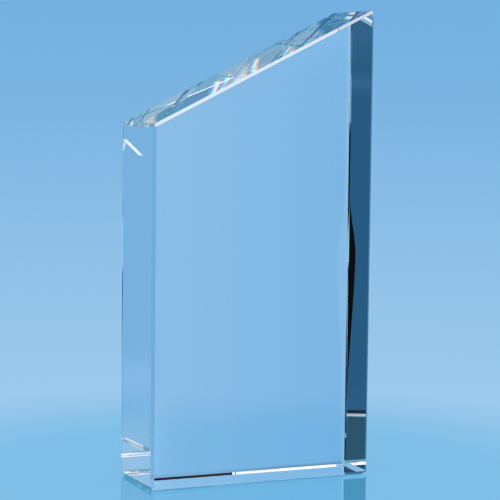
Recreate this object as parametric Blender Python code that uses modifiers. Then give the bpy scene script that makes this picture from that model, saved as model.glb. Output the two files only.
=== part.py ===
"""Crystal award: one clear block of optical crystal that stands on its own flat base.

The block is an upright slab with a rectangular plan. Its front and back are parallel, its two
sides are plumb, and its plain flat top slopes up from the short side to the tall side. Every edge
is broken by one narrow flat chamfer, set back by the same distance on both faces that it joins.

Metres, +X from the short side to the tall side, -Y towards the front, +Z up. The origin is the
centre of the face that the block stands on.
"""

import math

import bpy

# Driving dimensions. Each is measured to the sharp edges that the chamfers then take off.
WIDTH = 0.100  # from the short side to the tall side
THICKNESS = 0.038  # from front to back
SHORT_SIDE = 0.151  # height of the block at its short side
TALL_SIDE = 0.200  # height of the block at its tall side
CHAMFER = 0.0012  # set-back of a chamfer on each of its two faces

# The two caps of the extruded outline meet its rim within this distance.
WELD_GAP = 0.00001
# A chamfer goes on every edge whose faces turn by more than this. The block's own edges turn by
# 64 degrees above the short side, by 116 above the tall side, and by 90 everywhere else.
CHAMFERED_TURN = math.radians(30)

# Clear crystal: a trace of grey-green, and a polish that scatters almost nothing.
CRYSTAL_COLOUR = (0.90, 0.95, 0.96, 1.0)
CRYSTAL_ROUGHNESS = 0.02
CRYSTAL_INDEX = 1.517


def clear_scene():
    for obj in list(bpy.data.objects):
        bpy.data.objects.remove(obj, do_unlink=True)


def new_collection(name):
    collection = bpy.data.collections.new(name)
    bpy.context.scene.collection.children.link(collection)
    return collection


def crystal_material():
    material = bpy.data.materials.new("optical_crystal")
    material.use_nodes = True
    shader = material.node_tree.nodes["Principled BSDF"]
    shader.inputs["Base Color"].default_value = CRYSTAL_COLOUR
    shader.inputs["Roughness"].default_value = CRYSTAL_ROUGHNESS
    shader.inputs["Metallic"].default_value = 0.0
    shader.inputs["IOR"].default_value = CRYSTAL_INDEX
    shader.inputs["Transmission Weight"].default_value = 1.0
    return material


def front_outline():
    """The block's sharp outline seen from the front, as (across, up) points."""
    half_width = WIDTH / 2
    return [
        (-half_width, 0.0),
        (half_width, 0.0),
        (half_width, TALL_SIDE),
        (-half_width, SHORT_SIDE),
    ]


def extruded_outline(name, outline, thickness):
    """A filled curve that stands upright, with its outline in the XZ plane and centred on Y."""
    curve = bpy.data.curves.new(name, "CURVE")
    curve.dimensions = "2D"
    curve.fill_mode = "BOTH"
    curve.extrude = thickness / 2
    spline = curve.splines.new("POLY")
    spline.points.add(len(outline) - len(spline.points))
    for point, (across, up) in zip(spline.points, outline):
        point.co = (across, up, 0.0, 1.0)
    spline.use_cyclic_u = True
    obj = bpy.data.objects.new(name, curve)
    obj.rotation_euler.x = math.radians(90)
    return obj


def add_chamfers(obj, set_back):
    """Closes the caps onto the rim, then breaks every edge of the closed solid with a flat."""
    weld = obj.modifiers.new("close_caps", "WELD")
    weld.merge_threshold = WELD_GAP
    bevel = obj.modifiers.new("edge_chamfers", "BEVEL")
    bevel.offset_type = "OFFSET"
    bevel.width = set_back
    bevel.segments = 1
    bevel.limit_method = "ANGLE"
    bevel.angle_limit = CHAMFERED_TURN


def build_crystal_block(collection):
    block = extruded_outline("crystal_block", front_outline(), THICKNESS)
    block.data.materials.append(crystal_material())
    collection.objects.link(block)
    add_chamfers(block, CHAMFER)
    return block


clear_scene()
build_crystal_block(new_collection("crystal_award"))
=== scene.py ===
import math

import bmesh
import bpy
from mathutils import Matrix, Vector, noise


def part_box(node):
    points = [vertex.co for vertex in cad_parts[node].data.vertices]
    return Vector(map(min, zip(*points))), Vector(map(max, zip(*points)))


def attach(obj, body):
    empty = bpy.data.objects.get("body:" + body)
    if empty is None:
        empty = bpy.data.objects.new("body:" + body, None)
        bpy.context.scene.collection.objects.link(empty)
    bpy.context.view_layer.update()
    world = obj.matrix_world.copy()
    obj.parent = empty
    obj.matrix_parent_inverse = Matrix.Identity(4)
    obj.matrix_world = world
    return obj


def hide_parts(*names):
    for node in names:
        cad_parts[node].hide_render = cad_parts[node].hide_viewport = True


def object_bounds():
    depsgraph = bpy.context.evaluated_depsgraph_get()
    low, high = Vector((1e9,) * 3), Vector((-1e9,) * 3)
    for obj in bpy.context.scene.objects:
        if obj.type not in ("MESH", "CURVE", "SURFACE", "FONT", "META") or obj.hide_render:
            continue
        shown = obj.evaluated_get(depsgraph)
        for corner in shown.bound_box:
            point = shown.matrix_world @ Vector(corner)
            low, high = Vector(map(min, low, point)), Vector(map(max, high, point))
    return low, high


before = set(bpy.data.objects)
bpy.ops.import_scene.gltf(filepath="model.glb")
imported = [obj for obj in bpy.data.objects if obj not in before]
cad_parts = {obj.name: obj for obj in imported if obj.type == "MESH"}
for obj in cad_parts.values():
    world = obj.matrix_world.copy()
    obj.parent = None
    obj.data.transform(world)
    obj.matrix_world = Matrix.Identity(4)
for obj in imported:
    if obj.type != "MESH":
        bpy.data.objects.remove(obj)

CAD_NODE = "crystal_block"
cad_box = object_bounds()

# The sloping top is the largest face whose normal rises by between these shares and stays level
# from front to back.
SLOPING = (0.1, 0.99)
STAYS_LEVEL = 0.01
SAME_HEIGHT = 1e-6
SAME_POINT = 1e-7

# Chamfers, ground by hand
EDGE_SAMPLE = 0.002  # a chamfer is followed in steps of about this length
FEWEST_STEPS = 4
CHAMFER_CROWN = 0.005  # how far a chamfer's middle stands proud, as a share of its width
CHAMFER_WANDER = 0.015  # how much a chamfer's borders wander, as a share of its width
WANDER_SLOW, WANDER_FAST, FAST_SHARE = 33.0, 110.0, 0.45  # waves a metre, and the faster one's share
WANDER_FADE = 8  # the wander fades out over one part in this many of the edge, at either end
CHAMFER_PASSES = (0.0, 0.08, 0.30, 0.52, 0.74, 0.92, 1.0)  # borders between the grinding passes
PASS_STEP = 0.003  # how far the passes stand apart in height, as a share of the chamfer's width
STEPPED = (0.1, 0.9)  # only borders between these shares of the width are stepped
TAPERS = {("front", "top"): 0.15}  # share of its width that a chamfer loses towards the right
TAPER_FADE = 25  # a taper ends over the last part in this many of the edge

# Polishing has rolled the back face over a little where it meets the right-hand chamfer.
ROLLED_EDGE = ("back", "right")
ROLL_DEPTH = 0.00036  # how far the roll takes the edge back, where it is deepest
ROLL_SLOPE = math.tan(math.radians(6))
ROLL_TOP, ROLL_PEAK, ROLL_FOOT = 0.121, 0.0927, 0.024  # heights above the base
EASE_LENGTH = 0.0005  # a narrow flat between the roll and the chamfer
EASE_SLOPE = math.radians(30)
EASE_TOP, EASE_FOOT = 0.116, 0.077  # heights above the base

# Crystal
CRYSTAL_INDEX = 1.517
CRYSTAL_INDICES = (1.5165, 1.517, 1.5175)  # for red, green and blue light, spread apart a little
PASSED_PER_METRE = (0.93, 0.97, 0.98)  # what a metre of the crystal lets through
MOST_TURNS = 24  # light that has turned more often than this is followed no further, and the crystal shows a painted glow in its place
LIGHT_BOUNCES = 40
# How far the surface's normal tilts, and about how many waves there are to a metre
POLISHED_RIPPLE = (0.0005, 30.0)
GROUND_RIPPLE = (0.0012, 120.0)

# Table top
FLOOR_RADIUS = 0.5
FLOOR_SEGMENTS = 96
FLOOR_GAP = 0.0003  # the table top lies this far under the block, so that the two don't coincide
FLOOR_FADE = (0.10, 0.24)  # it fades out between these distances from the block's middle
MATT_SHARE, MATT_SHARE_DIRECT = 0.06, 0.55  # its matt share, in reflections and seen directly

# Camera, placed from the middle of the spot that the block stands on
CAMERA_OFFSET = Vector((-0.32249, -0.73845, 0.16873))
CAMERA_HEADING = -23.6958  # degrees about the vertical
CAMERA_DIP = 5.0822  # degrees below the horizon
CAMERA_ROLL = 0.6285  # degrees about the line of sight
CAMERA_LENS, CAMERA_SENSOR = 136.072, 36  # millimetres
NEAREST_SEEN = 0.01


# ---------------------------------------------------------------- geometry of the block


SIDES, DEPTHS, LEVELS = ("left", "right"), ("front", "back"), ("bottom", "top")
GROUND_SLOT = 1  # the chamfers' material slot


def ring_of(across, up):
    """The four corners of a face in order round it, each as a pair of names."""
    return [(across[0], up[0]), (across[1], up[0]), (across[1], up[1]), (across[0], up[1])]


class Face:
    """One of the block's six main planes."""

    def __init__(self, normal, point):
        self.normal = normal.normalized()
        self.level = self.normal.dot(point)


def meet(first, second, third):
    """The point where three planes meet."""
    rows = Matrix((first.normal, second.normal, third.normal))
    return rows.inverted() @ Vector((first.level, second.level, third.level))


def main_faces(node):
    """The CAD block's six main planes, read from its box and from its sloping top."""
    low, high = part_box(node)
    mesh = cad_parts[node].data
    least, most = SLOPING
    level = [polygon for polygon in mesh.polygons if abs(polygon.normal.y) < STAYS_LEVEL]
    sloping = [polygon for polygon in level if least < polygon.normal.z < most]
    top = max(sloping, key=lambda polygon: polygon.area)
    return {
        "front": Face(Vector((0, -1, 0)), low),
        "back": Face(Vector((0, 1, 0)), high),
        "left": Face(Vector((-1, 0, 0)), low),
        "right": Face(Vector((1, 0, 0)), high),
        "bottom": Face(Vector((0, 0, -1)), low),
        "top": Face(top.normal, top.center),
    }


def chamfer_width(node):
    """How far the CAD block's chamfers are set back, from the flat that it stands on."""
    low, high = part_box(node)
    base = [v.co.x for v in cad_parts[node].data.vertices if v.co.z < low.z + SAME_HEIGHT]
    return high.x - max(base)


def base_centre():
    """The middle of the spot that the block stands on."""
    low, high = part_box(CAD_NODE)
    return Vector(((low.x + high.x) / 2, (low.y + high.y) / 2, low.z))


def wander(position, lane):
    """A smooth value round 0 that changes along a chamfer. Each lane has its own pattern."""
    slow = noise.noise(Vector((position * WANDER_SLOW, lane * 7.3, 0.4)))
    fast = noise.noise(Vector((position * WANDER_FAST, lane * 5.1, 2.7)))
    return slow + FAST_SHARE * fast


def smooth(value, low, high):
    """Goes smoothly from 0 to 1 while value goes from low to high."""
    t = min(1.0, max(0.0, (value - low) / (high - low)))
    return t * t * (3 - 2 * t)


def roll_share(height):
    """How much of the full roll the rolled edge has at a height above the base."""
    return smooth(height, ROLL_TOP, ROLL_PEAK) * smooth(height, ROLL_FOOT, ROLL_PEAK)


def ease_share(height):
    """How much of its full length the flat beside the roll has at a height above the base."""
    return smooth(height, EASE_TOP, ROLL_PEAK) * smooth(height, EASE_FOOT, ROLL_PEAK)


class Block:
    """The crystal block, chamfered by hand: built from its planes into one mesh. The mesh is not
    quite closed: each corner has a gap about 0.02 mm wide where its three chamfers meet."""

    def __init__(self, faces, width):
        self.faces = faces
        self.width = width
        self.bm = bmesh.new()
        self.corners = {}
        self.borders = {}

    def corner(self, side, depth, level):
        """The sharp corner, the inner corner that chamfers leave on each face, and their mitre."""
        key = (side, depth, level)
        if key not in self.corners:
            sharp = meet(*[self.faces[name] for name in key])
            along = self.edge_directions(key)
            inner = {}
            for name in key:
                u, v = [along[other] for other in key if other != name]
                inner[name] = sharp + (u + v) * (self.width / u.cross(v).length)
            self.corners[key] = (sharp, inner, self.mitre(sharp, *along.values()))
        return self.corners[key]

    def edge_directions(self, names):
        """The three edges from a corner: each lies in two of its faces, and is named by the third."""
        along = {}
        for name in names:
            a, b = [self.faces[other] for other in names if other != name]
            direction = a.normal.cross(b.normal).normalized()
            if direction.dot(self.faces[name].normal) > 0:
                direction.negate()
            along[name] = direction
        return along

    def mitre(self, sharp, u, v, w):
        """The point near a sharp corner where the chamfers of its edges u, v and w meet."""
        uv, uw, vw = u.cross(v).length, u.cross(w).length, v.cross(w).length
        rows = Matrix(((0, uv, uw), (uv, 0, vw), (uw, vw, 0)))
        share = rows.inverted() @ Vector((self.width,) * 3)
        return sharp + u * share.x + v * share.y + w * share.z

    def inward(self, name, other, run):
        """The direction in a face that leads away from its edge with another face."""
        direction = run.cross(self.faces[name].normal)
        if direction.dot(self.faces[other].normal) > 0:
            direction.negate()
        return direction.normalized()

    def edge(self, first, second, start, end, lane):
        """One chamfer as rows of points, from the border on face first to that on face second."""
        sharp_a, inner_a, mitre_a = self.corner(*start)
        sharp_b, inner_b, mitre_b = self.corner(*end)
        length = (sharp_b - sharp_a).length
        run = (sharp_b - sharp_a).normalized()
        into_first = self.inward(first, second, run)
        into_second = self.inward(second, first, run)
        outward = (self.faces[first].normal + self.faces[second].normal).normalized()
        rolled = (first, second) == ROLLED_EDGE
        count = max(FEWEST_STEPS, round(length / EDGE_SAMPLE))
        rows = []
        for i in range(count + 1):
            t = i / count
            a = inner_a[first].lerp(inner_b[first], t)
            b = inner_a[second].lerp(inner_b[second], t)
            if 0 < i < count:
                position = (sharp_a + run * length * t).dot(run)
                shift_a, shift_b = self.shifts(TAPERS.get((first, second), 0.0), position, t, lane)
                a += into_first * shift_a
                b += into_second * shift_b
                row = self.passes(a, b, outward, lane)
                if rolled:
                    height = b.z + self.faces["bottom"].level
                    row = self.rolled(row, b, into_first, into_second, height)
            else:
                row = self.mitred(a, mitre_a if i == 0 else mitre_b, b)
                if rolled:
                    row = [row[0], row[0]] + row
            rows.append(row)
        self.borders[(first, start, end)] = [row[0] for row in rows]
        self.borders[(second, start, end)] = [row[-1] for row in rows]
        self.add_strip(rows)

    def shifts(self, taper, position, t, lane):
        """How far a chamfer's two borders are moved into their faces, at a share t of the edge."""
        fade = min(1.0, WANDER_FADE * t, WANDER_FADE * (1 - t))
        shift = self.width * CHAMFER_WANDER * fade
        narrower = self.width * taper * t * min(1.0, TAPER_FADE * (1 - t))
        return [shift * wander(position, lane + side) - narrower for side in (0, 0.5)]

    def mitred(self, a, mitre, b):
        """Points across a chamfer's end, which runs from a to b by way of the mitre. None of them
        falls on the mitre itself, as no pass ends at 0.5, and that leaves the gap at the corner."""
        row = []
        for share in CHAMFER_PASSES:
            if share <= 0.5:
                row.append(a.lerp(mitre, share * 2))
            else:
                row.append(mitre.lerp(b, share * 2 - 1))
        return row

    def passes(self, a, b, outward, lane):
        """Points across a chamfer from a to b: flat passes that together stand a little proud."""
        row = []
        for k, share in enumerate(CHAMFER_PASSES):
            bulge = 4 * share * (1 - share) * CHAMFER_CROWN
            if STEPPED[0] < share < STEPPED[1]:
                bulge += PASS_STEP * noise.noise(Vector((lane * 3.7, k * 1.9, 5.5)))
            row.append(a.lerp(b, share) + outward * bulge * self.width)
        return row

    def rolled(self, row, b, into_face, into_side, height):
        """The same chamfer with its border on the face rolled over, and two more points there."""
        drop = ROLL_DEPTH * roll_share(height)
        ease = EASE_LENGTH * ease_share(height)
        keep = 1 - (drop + ease * math.sin(EASE_SLOPE)) / self.width
        kept = [b.lerp(point, keep) for point in row]
        eased = kept[0] + into_face * ease * math.cos(EASE_SLOPE) - into_side * ease * math.sin(EASE_SLOPE)
        border = eased + into_face * (drop / ROLL_SLOPE) - into_side * drop
        return [border, eased] + kept

    def add_strip(self, rows):
        points = [[self.bm.verts.new(point) for point in row] for row in rows]
        for near, far in zip(points, points[1:]):
            for i in range(len(near) - 1):
                face = self.bm.faces.new((near[i], near[i + 1], far[i + 1], far[i]))
                face.material_index = GROUND_SLOT

    def add_face(self, name, ring):
        """The flat main face inside its chamfers' borders, round the ring of its corners."""
        loop = []
        for start, end in zip(ring, ring[1:] + ring[:1]):
            if (name, start, end) in self.borders:
                border = self.borders[(name, start, end)]
            else:
                border = list(reversed(self.borders[(name, end, start)]))
            loop += border[:-1]
        self.bm.faces.new([self.bm.verts.new(point) for point in loop])

    def add_chamfers(self):
        lane = 0
        for depth in DEPTHS:
            for side in SIDES:
                self.edge(depth, side, (side, depth, "bottom"), (side, depth, "top"), lane)
                lane += 1
            for level in LEVELS:
                self.edge(depth, level, ("left", depth, level), ("right", depth, level), lane)
                lane += 1
        for side in SIDES:
            for level in LEVELS:
                self.edge(side, level, (side, "front", level), (side, "back", level), lane)
                lane += 1

    def add_faces(self):
        for depth in DEPTHS:
            self.add_face(depth, [(s, depth, l) for s, l in ring_of(SIDES, LEVELS)])
        for side in SIDES:
            self.add_face(side, [(side, d, l) for d, l in ring_of(DEPTHS, LEVELS)])
        for level in LEVELS:
            self.add_face(level, [(s, d, level) for s, d in ring_of(SIDES, DEPTHS)])

    def build(self):
        """The whole block as a mesh, kept inside the CAD block's box."""
        self.add_chamfers()
        self.add_faces()
        low, high = cad_box
        for vertex in self.bm.verts:
            vertex.co = [min(max(c, a), b) for c, a, b in zip(vertex.co, low, high)]
        bmesh.ops.remove_doubles(self.bm, verts=self.bm.verts, dist=SAME_POINT)
        bmesh.ops.recalc_face_normals(self.bm, faces=self.bm.faces)
        mesh = bpy.data.meshes.new("crystal_body")
        self.bm.to_mesh(mesh)
        self.bm.free()
        return mesh


# ---------------------------------------------------------------- shader helpers


class Graph:
    """A node tree written as expressions: each call adds one node and returns its output."""

    def __init__(self, tree):
        self.tree = tree
        tree.nodes.clear()

    def add(self, kind, **settings):
        node = self.tree.nodes.new(kind)
        for name, value in settings.items():
            setattr(node, name, value)
        return node

    def plug(self, socket, value):
        if isinstance(value, bpy.types.NodeSocket):
            self.tree.links.new(value, socket)
        else:
            socket.default_value = value

    def math(self, operation, *values):
        node = self.add("ShaderNodeMath", operation=operation)
        for socket, value in zip(node.inputs, values):
            self.plug(socket, value)
        return node.outputs[0]

    def vector(self, operation, first, second=None, scale=None):
        node = self.add("ShaderNodeVectorMath", operation=operation)
        self.plug(node.inputs[0], first)
        if second is not None:
            self.plug(node.inputs[1], second)
        if scale is not None:
            self.plug(node.inputs["Scale"], scale)
        return node.outputs[0]

    def blend(self, factor, a, b):
        """The number a where factor is 0, and b where it is 1."""
        return self.math("MULTIPLY_ADD", factor, self.math("SUBTRACT", b, a), a)

    def shader_mix(self, factor, a, b):
        node = self.add("ShaderNodeMixShader")
        self.plug(node.inputs[0], factor)
        self.plug(node.inputs[1], a)
        self.plug(node.inputs[2], b)
        return node.outputs[0]

    def shader_sum(self, a, b):
        node = self.add("ShaderNodeAddShader")
        self.plug(node.inputs[0], a)
        self.plug(node.inputs[1], b)
        return node.outputs[0]

    def mirror(self, colour, normal=None):
        node = self.add("ShaderNodeBsdfGlossy")
        node.inputs["Roughness"].default_value = 0.0
        self.plug(node.inputs["Color"], colour)
        if normal is not None:
            self.plug(node.inputs["Normal"], normal)
        return node.outputs[0]

    def clear(self, colour):
        node = self.add("ShaderNodeBsdfTransparent")
        node.inputs["Color"].default_value = colour
        return node.outputs[0]

    def surface(self, output, shader):
        self.plug(self.add(output).inputs["Surface"], shader)

    def ramp(self, value, low, high, start=0.0, end=1.0):
        """Goes smoothly from start to end while value goes from low to high. Its clamp is off, as
        a smooth step needs none, and a clamp for each ramp would overfill the world's shader."""
        node = self.add("ShaderNodeMapRange", interpolation_type="SMOOTHSTEP", clamp=False)
        for socket, item in zip(node.inputs, (value, low, high, start, end)):
            self.plug(socket, item)
        return node.outputs[0]

    def mix(self, factor, a, b):
        node = self.add("ShaderNodeMix", data_type="RGBA")
        self.plug(node.inputs["Factor"], factor)
        self.plug(node.inputs[6], a)
        self.plug(node.inputs[7], b)
        return node.outputs[2]

    def band(self, value, low, high, soft):
        """1 between low and high, with edges that fade over twice soft."""
        rise = self.ramp(value, low - soft, low + soft)
        fall = self.ramp(value, high - soft, high + soft, 1.0, 0.0)
        return self.math("MULTIPLY", rise, fall)


def rgb(red, green, blue):
    return (red, green, blue, 1.0)


# ---------------------------------------------------------------- crystal material

PRIMARIES = (rgb(1, 0, 0), rgb(0, 1, 0), rgb(0, 0, 1))
LONG_PATH_GLOW = rgb(0.10, 0.27, 0.38)  # painted glow: a fixed colour that the crystal gives off in place of the light that over-long paths would bring
SHADOW_TINT = rgb(0.90, 0.94, 0.97)
CLEAR = rgb(1, 1, 1)


def scattered_normal(g, strength, scale):
    """The surface's normal, tilted by a smooth noise: the slight waviness that polishing leaves."""
    texture = g.add("ShaderNodeTexNoise")
    g.plug(texture.inputs["Vector"], g.add("ShaderNodeTexCoord").outputs["Object"])
    texture.inputs["Scale"].default_value = scale
    texture.inputs["Detail"].default_value = 1.0
    tilt = g.vector("SUBTRACT", texture.outputs["Color"], (0.5, 0.5, 0.5))
    tilt = g.vector("MULTIPLY", tilt, (strength, strength, strength))
    normal = g.add("ShaderNodeNewGeometry").outputs["Normal"]
    return g.vector("NORMALIZE", g.vector("ADD", normal, tilt))


def refraction(g, index, colour, normal):
    shader = g.add("ShaderNodeBsdfRefraction")
    shader.inputs["IOR"].default_value = index
    shader.inputs["Roughness"].default_value = 0.0
    g.plug(shader.inputs["Color"], colour)
    g.plug(shader.inputs["Normal"], normal)
    return shader.outputs[0]


def path_tint(g, length):
    """What is left of white light after a length of crystal."""
    passed = g.add("ShaderNodeCombineColor")
    for socket, share in zip(passed.inputs, PASSED_PER_METRE):
        g.plug(socket, g.math("POWER", share, length))
    return passed.outputs[0]


def spectrum_refraction(g, normal):
    """Refraction that bends red, green and blue light by slightly different amounts."""
    red, green, blue = [refraction(g, n, c, normal) for n, c in zip(CRYSTAL_INDICES, PRIMARIES)]
    return g.shader_sum(g.shader_sum(red, green), blue)


def crystal_material(name, ripple, ripple_scale):
    """Clear crystal. Light splits at its first surface only, and from there on takes the stronger
    of its two ways at each surface, so that long zigzag paths through the block stay clean."""
    material = bpy.data.materials.new(name)
    material.use_nodes = True
    g = Graph(material.node_tree)
    path = g.add("ShaderNodeLightPath").outputs
    inside = g.add("ShaderNodeNewGeometry").outputs["Backfacing"]
    normal = scattered_normal(g, ripple, ripple_scale)
    fresnel = g.add("ShaderNodeFresnel")
    fresnel.inputs["IOR"].default_value = CRYSTAL_INDEX
    g.plug(fresnel.inputs["Normal"], normal)
    returned = fresnel.outputs[0]
    tint = path_tint(g, g.math("MULTIPLY", path["Ray Length"], inside))
    faded = g.vector("SCALE", tint, scale=g.math("SUBTRACT", 1.0, returned))
    first = path["Is Camera Ray"]
    later_way = refraction(g, CRYSTAL_INDEX, faded, normal)
    through = g.shader_mix(first, later_way, spectrum_refraction(g, normal))
    mirror = g.mirror(tint, normal)
    stronger = g.math("GREATER_THAN", returned, 0.5)
    crystal = g.shader_mix(g.blend(first, stronger, returned), through, mirror)
    # Painted glow: past MOST_TURNS turns the crystal emits a fixed colour instead of tracing the light
    # further.
    long_path_glow = g.add("ShaderNodeEmission")
    long_path_glow.inputs["Color"].default_value = LONG_PATH_GLOW
    too_long = g.math("GREATER_THAN", path["Ray Depth"], MOST_TURNS)
    crystal = g.shader_mix(too_long, crystal, long_path_glow.outputs[0])
    soft = g.math("MAXIMUM", path["Is Shadow Ray"], path["Is Diffuse Ray"])
    g.surface("ShaderNodeOutputMaterial", g.shader_mix(soft, crystal, g.clear(SHADOW_TINT)))
    return material


# ---------------------------------------------------------------- studio

BACKDROP_LOW = rgb(0.335, 0.585, 0.838)
BACKDROP_HIGH = rgb(0.175, 0.435, 0.745)
BACKDROP_FADE = (-11.0, 3.0)  # elevations between which the backdrop changes
# The backdrop as the crystal shows it, and the stretch of it that is a deeper blue
INSIDE_LEFT = rgb(0.280, 0.558, 0.865)
INSIDE_RIGHT = rgb(0.218, 0.508, 0.845)
RIGHT_STRETCH = (24.0, 140.0, 4.0)
DARK_BLUE = rgb(0.024, 0.112, 0.24)
ROOM = rgb(0.20, 0.42, 0.58)
HIGH_BLUE = rgb(0.04, 0.22, 0.50)
WHITE = rgb(1.2, 1.22, 1.25)
BLACK = rgb(0.004, 0.005, 0.006)
FLOOR_BODY = rgb(0.44, 0.95, 1.0)
FLOOR_MIRROR, FLOOR_MIRROR_DIRECT = rgb(0.82, 0.93, 0.97), rgb(1.0, 0.90, 0.88)

# The studio is a sphere of light with cards hung on it. Each card: azimuth from, to, elevation
# from, to, softness, all in degrees, and its colour. A later card covers an earlier one. The
# camera sees the plain backdrop itself. All other light sees these cards.
OPEN_CARDS = (
    # darker strips to either side of the block
    (-12.5, -7, -16, 10, 0.6, DARK_BLUE),
    (46, 51.5, -14, 4, 1.0, rgb(0.18, 0.46, 0.81)),
    # a white sheet low down beyond the block, and the dark room under everything
    (5, 60, -34, -17, 1.0, rgb(0.80, 0.90, 1.00)),
    (-181, 181, -95, -45, 3.0, rgb(0.05, 0.14, 0.24)),
)

# Cards that only mirrored light sees.
MIRRORED_CARDS = (
    (95, 181, -60, 1, 1.0, BLACK),
    (-181, -95, -60, 1, 1.0, BLACK),
    (-24.0, -15, -16, 6, 0.8, rgb(0.0, 0.33, 0.85)),
)

# Cards that only light mirrored by the table top or by the outside of the block sees.
OUTER_CARDS = (
    (-181, 181, 2.5, 62, 1.0, BACKDROP_LOW),
    (143, 164, 2.5, 20, 1.0, rgb(0.05, 0.15, 0.23)),
    (2, 40, 14.5, 62, 1.0, HIGH_BLUE),
    (-16, -6, 15, 20, 1.0, rgb(0.60, 0.75, 0.88)),
)
# A lamp that the left face mirrors as a bent glint: two bars, each leaning with the elevation.
# Lean, leaning azimuth from, to, elevation from, to, colour.
GLINT_BARS = (
    (-1.0, -18.15, -18.05, -2.25, -1.77, rgb(4.6, 3.6, 2.6)),
    (0.33, -20.53, -20.46, -2.12, -1.80, rgb(2.4, 2.2, 2.0)),
)
GLINT_SOFT = 0.03

# Cards that only light from inside the block sees, once a surface has mirrored it. The table
# mirrors them too, so their elevation is an angle above or below the horizon.
INNER_CARDS = (
    # the room behind the camera and beside it, and its dark side on the left
    (64, 181, -1, 75, 1.5, ROOM),
    (-181, -46, -1, 75, 1.5, ROOM),
    (-46, -5, -1, 24, 1.5, DARK_BLUE),
    # the light overhead, with a dark beam under it
    (-181, 181, 66.9, 95, 0.35, WHITE),
    (95, 112, 22, 50, 1.5, rgb(0.03, 0.016, 0.01)),
    # flags and lamps on the dark side and behind it
    (-62, -29.3, 1.0, 11, 0.4, BLACK),
    (-135, -114.5, 1.2, 16, 0.4, BLACK),
    (-112.5, -100, 2, 6.2, 0.3, rgb(0.5, 0.9, 1.1)),
    (-112.5, -100, 6.4, 16, 0.3, BLACK),
    (-50, -38, 15, 26, 1.0, rgb(0.72, 0.74, 0.82)),
    (-138, -131.5, 20.5, 24.5, 0.5, rgb(1.0, 1.08, 1.12)),
    (-138.5, -134, 54, 56, 0.3, rgb(1.0, 1.08, 1.12)),
    (-46, -40, 28.5, 32, 0.5, rgb(1.0, 1.08, 1.12)),
    (-104, -99, 16.2, 17.5, 0.2, rgb(1.0, 1.08, 1.12)),
    (-44, -39, 11.8, 13.2, 0.3, rgb(0.50, 0.85, 1.00)),
    (-52, -46, 52, 57, 0.4, rgb(0.06, 0.16, 0.24)),
    (-20, -12, 20, 25.5, 1.0, rgb(0.08, 0.30, 0.62)),
    (-17, -14, 15.5, 19, 0.5, WHITE),
    (-67, -60.6, 17, 29, 0.25, rgb(2.2, 2.0, 1.8)),
    (-115, -109, 16, 20, 0.5, rgb(0.28, 0.56, 0.76)),
    (-133, -129, 32, 35, 0.4, rgb(0.24, 0.47, 0.60)),
    (-130, -126.5, 29.5, 33.5, 0.3, rgb(0.46, 0.72, 0.82)),
    (-133.5, -131.9, 33.5, 36, 0.1, rgb(0.75, 0.68, 0.66)),
    # flags and lamps beside the backdrop
    (12, 17, 15, 21, 0.5, WHITE),
    (18.5, 22, 16, 19, 0.4, rgb(0.16, 0.34, 0.49)),
    (18.0, 20.9, 8.5, 13, 0.6, rgb(0.36, 0.64, 0.94)),
    (62.5, 64.6, 20, 24, 0.3, rgb(0.95, 1.02, 0.9)),
    (64.9, 68, 16, 20, 0.3, rgb(0.26, 0.42, 0.50)),
    (112, 116, 18.8, 22, 0.4, rgb(0.30, 0.53, 0.69)),
    (112, 116, 15, 18.4, 0.4, rgb(0.15, 0.37, 0.50)),
    # the lit wall low on the left, in panels
    (-25.4, -19.0, -1, 3, 0.12, rgb(0.50, 0.88, 1.10)),
    (-21.8, -19.9, -1, 3, 0.12, rgb(0.82, 1.10, 1.21)),
    (-23.35, -22.6, -1, 3, 0.12, rgb(0.71, 1.09, 1.21)),
    # the wall behind the camera, with windows
    (-162, -157.7, -1, 4, 0.10, rgb(0.28, 0.60, 0.82)),
    (-160, -159.3, -1, 4, 0.06, rgb(1.3, 1.4, 1.25)),
    (-157.65, -154.9, -1, 4, 0.10, rgb(0.58, 0.84, 0.98)),
    (-157.47, -157.33, -1, 4, 0.04, rgb(2.3, 2.3, 2.2)),
    (-157.17, -157.05, -1, 4, 0.04, rgb(2.3, 2.3, 2.2)),
    (-156.78, -156.45, -1, 4, 0.05, rgb(1.6, 1.7, 1.65)),
    (-156.31, -156.17, -1, 4, 0.04, rgb(2.2, 2.1, 1.9)),
    (-155.40, -155.10, -1, 4, 0.06, rgb(1.6, 1.7, 1.55)),
    (-154.9, -152, -1, 4, 0.10, rgb(0.25, 0.60, 0.90)),
    (-153.42, -153.18, 1.8, 2.2, 0.03, rgb(1.7, 1.9, 2.0)),
    (150, 160, 6, 9.2, 0.08, rgb(0.45, 0.68, 0.79)),
    (150, 160, 9.25, 12, 0.08, rgb(0.09, 0.25, 0.39)),
    (-169, -162, 15, 20, 0.5, rgb(0.42, 0.65, 0.78)),
    (157, 162, 15, 20, 0.5, rgb(0.18, 0.23, 0.33)),
    # high windows, and the dark gaps between them
    (30, 33.4, 60, 66, 0.15, rgb(0.22, 0.42, 0.55)),
    (33.4, 36, 60, 66, 0.15, rgb(0.85, 1.0, 1.02)),
    (38, 41.15, 54, 66, 0.1, rgb(0.50, 0.74, 0.86)),
    (41.2, 46, 54, 66, 0.1, BLACK),
    (140, 142.3, 58, 64, 0.15, rgb(0.42, 0.62, 0.74)),
    (142.3, 145, 58, 64, 0.15, rgb(0.85, 0.82, 0.80)),
    (134, 139, 56, 62, 0.5, rgb(0.16, 0.34, 0.44)),
    (-142, -136, 56, 64, 0.5, rgb(0.55, 0.74, 0.77)),
    (-150, -146.3, 60, 66, 0.2, rgb(0.14, 0.36, 0.50)),
    (-42, -34, 60, 66, 0.5, rgb(0.45, 0.67, 0.78)),
    (-46, -42.7, 54, 62, 0.2, rgb(0.05, 0.16, 0.25)),
    # the far edge of the table
    (-30, -24, 10.05, 16, 0.04, rgb(0.022, 0.070, 0.12)),
    (-30, -24, 9.99, 10.06, 0.03, rgb(0.60, 0.70, 0.70)),
    (-30, -24, 9.87, 9.97, 0.02, BLACK),
)


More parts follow.
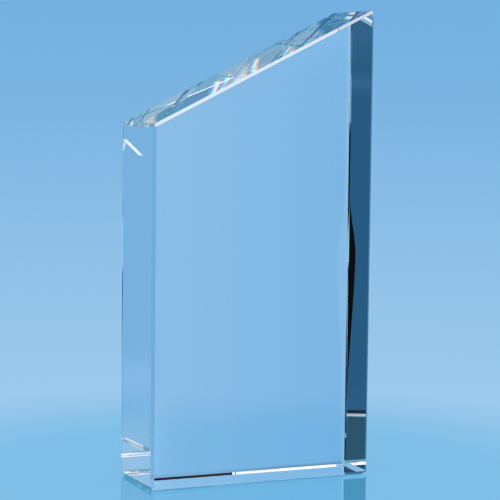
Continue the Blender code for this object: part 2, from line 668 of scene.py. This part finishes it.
def hang(g, cards, azimuth, elevation, behind):
    """The colour behind, covered by the cards."""
    for west, east, low, high, soft, colour in cards:
        mask = g.math("MULTIPLY", g.band(azimuth, west, east, soft), g.band(elevation, low, high, soft))
        behind = g.mix(mask, behind, colour)
    return behind


def look_direction(g):
    """The azimuth and the elevation that light comes from, in degrees."""
    direction = g.add("ShaderNodeSeparateXYZ")
    g.plug(direction.inputs[0], g.add("ShaderNodeTexCoord").outputs["Generated"])
    x, y, z = direction.outputs
    degrees = math.degrees(1)
    azimuth = g.math("MULTIPLY", g.math("ARCTAN2", x, y), degrees)
    elevation = g.math("MULTIPLY", g.math("ARCSINE", z), degrees)
    return azimuth, elevation


def hang_glint(g, azimuth, elevation, behind):
    """The colour behind, covered by the bars of the glint."""
    for lean, west, east, low, high, colour in GLINT_BARS:
        leaning = g.math("MULTIPLY_ADD", elevation, lean, azimuth)
        behind = hang(g, [(west, east, low, high, GLINT_SOFT, colour)], leaning, elevation, behind)
    return behind


def world_light():
    """The light from all round, which depends on the way by which a ray has come."""
    world = bpy.data.worlds.new("studio")
    bpy.context.scene.world = world
    world.use_nodes = True
    g = Graph(world.node_tree)
    azimuth, elevation = look_direction(g)
    path = g.add("ShaderNodeLightPath").outputs
    plain = g.mix(g.ramp(elevation, *BACKDROP_FADE), BACKDROP_LOW, BACKDROP_HIGH)
    seen = g.mix(g.band(azimuth, *RIGHT_STRETCH), INSIDE_LEFT, INSIDE_RIGHT)
    seen = hang(g, OPEN_CARDS, azimuth, elevation, seen)
    mirrored = g.math("GREATER_THAN", path["Glossy Depth"], 0.5)
    seen = g.mix(mirrored, seen, hang(g, MIRRORED_CARDS, azimuth, elevation, seen))
    inner = g.math("MULTIPLY", mirrored, g.math("GREATER_THAN", path["Transmission Depth"], 0.5))
    outer = g.math("SUBTRACT", mirrored, inner)
    outside = hang(g, OUTER_CARDS, azimuth, elevation, seen)
    seen = g.mix(outer, seen, hang_glint(g, azimuth, elevation, outside))
    height = g.math("ABSOLUTE", elevation)
    seen = g.mix(inner, seen, hang(g, INNER_CARDS, azimuth, height, seen))
    colour = g.mix(path["Is Camera Ray"], seen, plain)
    background = g.add("ShaderNodeBackground")
    g.plug(background.inputs["Color"], colour)
    g.surface("ShaderNodeOutputWorld", background.outputs[0])


def floor_material():
    """A pale glossy table top that fades out into the backdrop away from the block."""
    material = bpy.data.materials.new("floor")
    material.use_nodes = True
    g = Graph(material.node_tree)
    length = g.add("ShaderNodeVectorMath", operation="LENGTH")
    g.plug(length.inputs[0], g.add("ShaderNodeTexCoord").outputs["Object"])
    cover = g.ramp(length.outputs["Value"], *FLOOR_FADE, 1.0, 0.0)
    direct = g.add("ShaderNodeLightPath").outputs["Is Camera Ray"]
    mirror = g.mirror(g.mix(direct, FLOOR_MIRROR, FLOOR_MIRROR_DIRECT))
    body = g.add("ShaderNodeBsdfDiffuse")
    body.inputs["Color"].default_value = FLOOR_BODY
    matt = g.blend(direct, MATT_SHARE, MATT_SHARE_DIRECT)
    top = g.shader_mix(matt, mirror, body.outputs[0])
    g.surface("ShaderNodeOutputMaterial", g.shader_mix(cover, g.clear(CLEAR), top))
    return material


def floor():
    mesh = bpy.data.meshes.new("floor")
    bm = bmesh.new()
    bmesh.ops.create_circle(bm, cap_ends=True, segments=FLOOR_SEGMENTS, radius=FLOOR_RADIUS)
    bm.to_mesh(mesh)
    bm.free()
    obj = bpy.data.objects.new("floor", mesh)
    obj.location = base_centre() - Vector((0, 0, FLOOR_GAP))
    mesh.materials.append(floor_material())
    bpy.context.scene.collection.objects.link(obj)


def camera():
    data = bpy.data.cameras.new("camera")
    data.sensor_width = CAMERA_SENSOR
    data.lens = CAMERA_LENS
    data.clip_start = NEAREST_SEEN
    obj = bpy.data.objects.new("camera", data)
    bpy.context.scene.collection.objects.link(obj)
    turn = (
        Matrix.Rotation(math.radians(CAMERA_HEADING), 4, "Z")
        @ Matrix.Rotation(math.radians(90 - CAMERA_DIP), 4, "X")
        @ Matrix.Rotation(math.radians(CAMERA_ROLL), 4, "Z")
    )
    obj.matrix_world = Matrix.Translation(base_centre() + CAMERA_OFFSET) @ turn
    bpy.context.scene.camera = obj


def crystal_body():
    """The award itself, in the CAD node's place."""
    mesh = Block(main_faces(CAD_NODE), chamfer_width(CAD_NODE)).build()
    mesh.materials.append(crystal_material("polished_crystal", *POLISHED_RIPPLE))
    mesh.materials.append(crystal_material("ground_edge", *GROUND_RIPPLE))
    body = bpy.data.objects.new("crystal_body", mesh)
    bpy.context.scene.collection.objects.link(body)
    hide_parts(CAD_NODE)
    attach(body, "root")


def main():
    crystal_body()
    world_light()
    floor()
    camera()
    scene = bpy.context.scene
    scene.view_settings.view_transform = "Standard"
    scene.cycles.max_bounces = LIGHT_BOUNCES
    scene.cycles.glossy_bounces = LIGHT_BOUNCES
    scene.cycles.transmission_bounces = LIGHT_BOUNCES
    scene.cycles.transparent_max_bounces = LIGHT_BOUNCES


main()
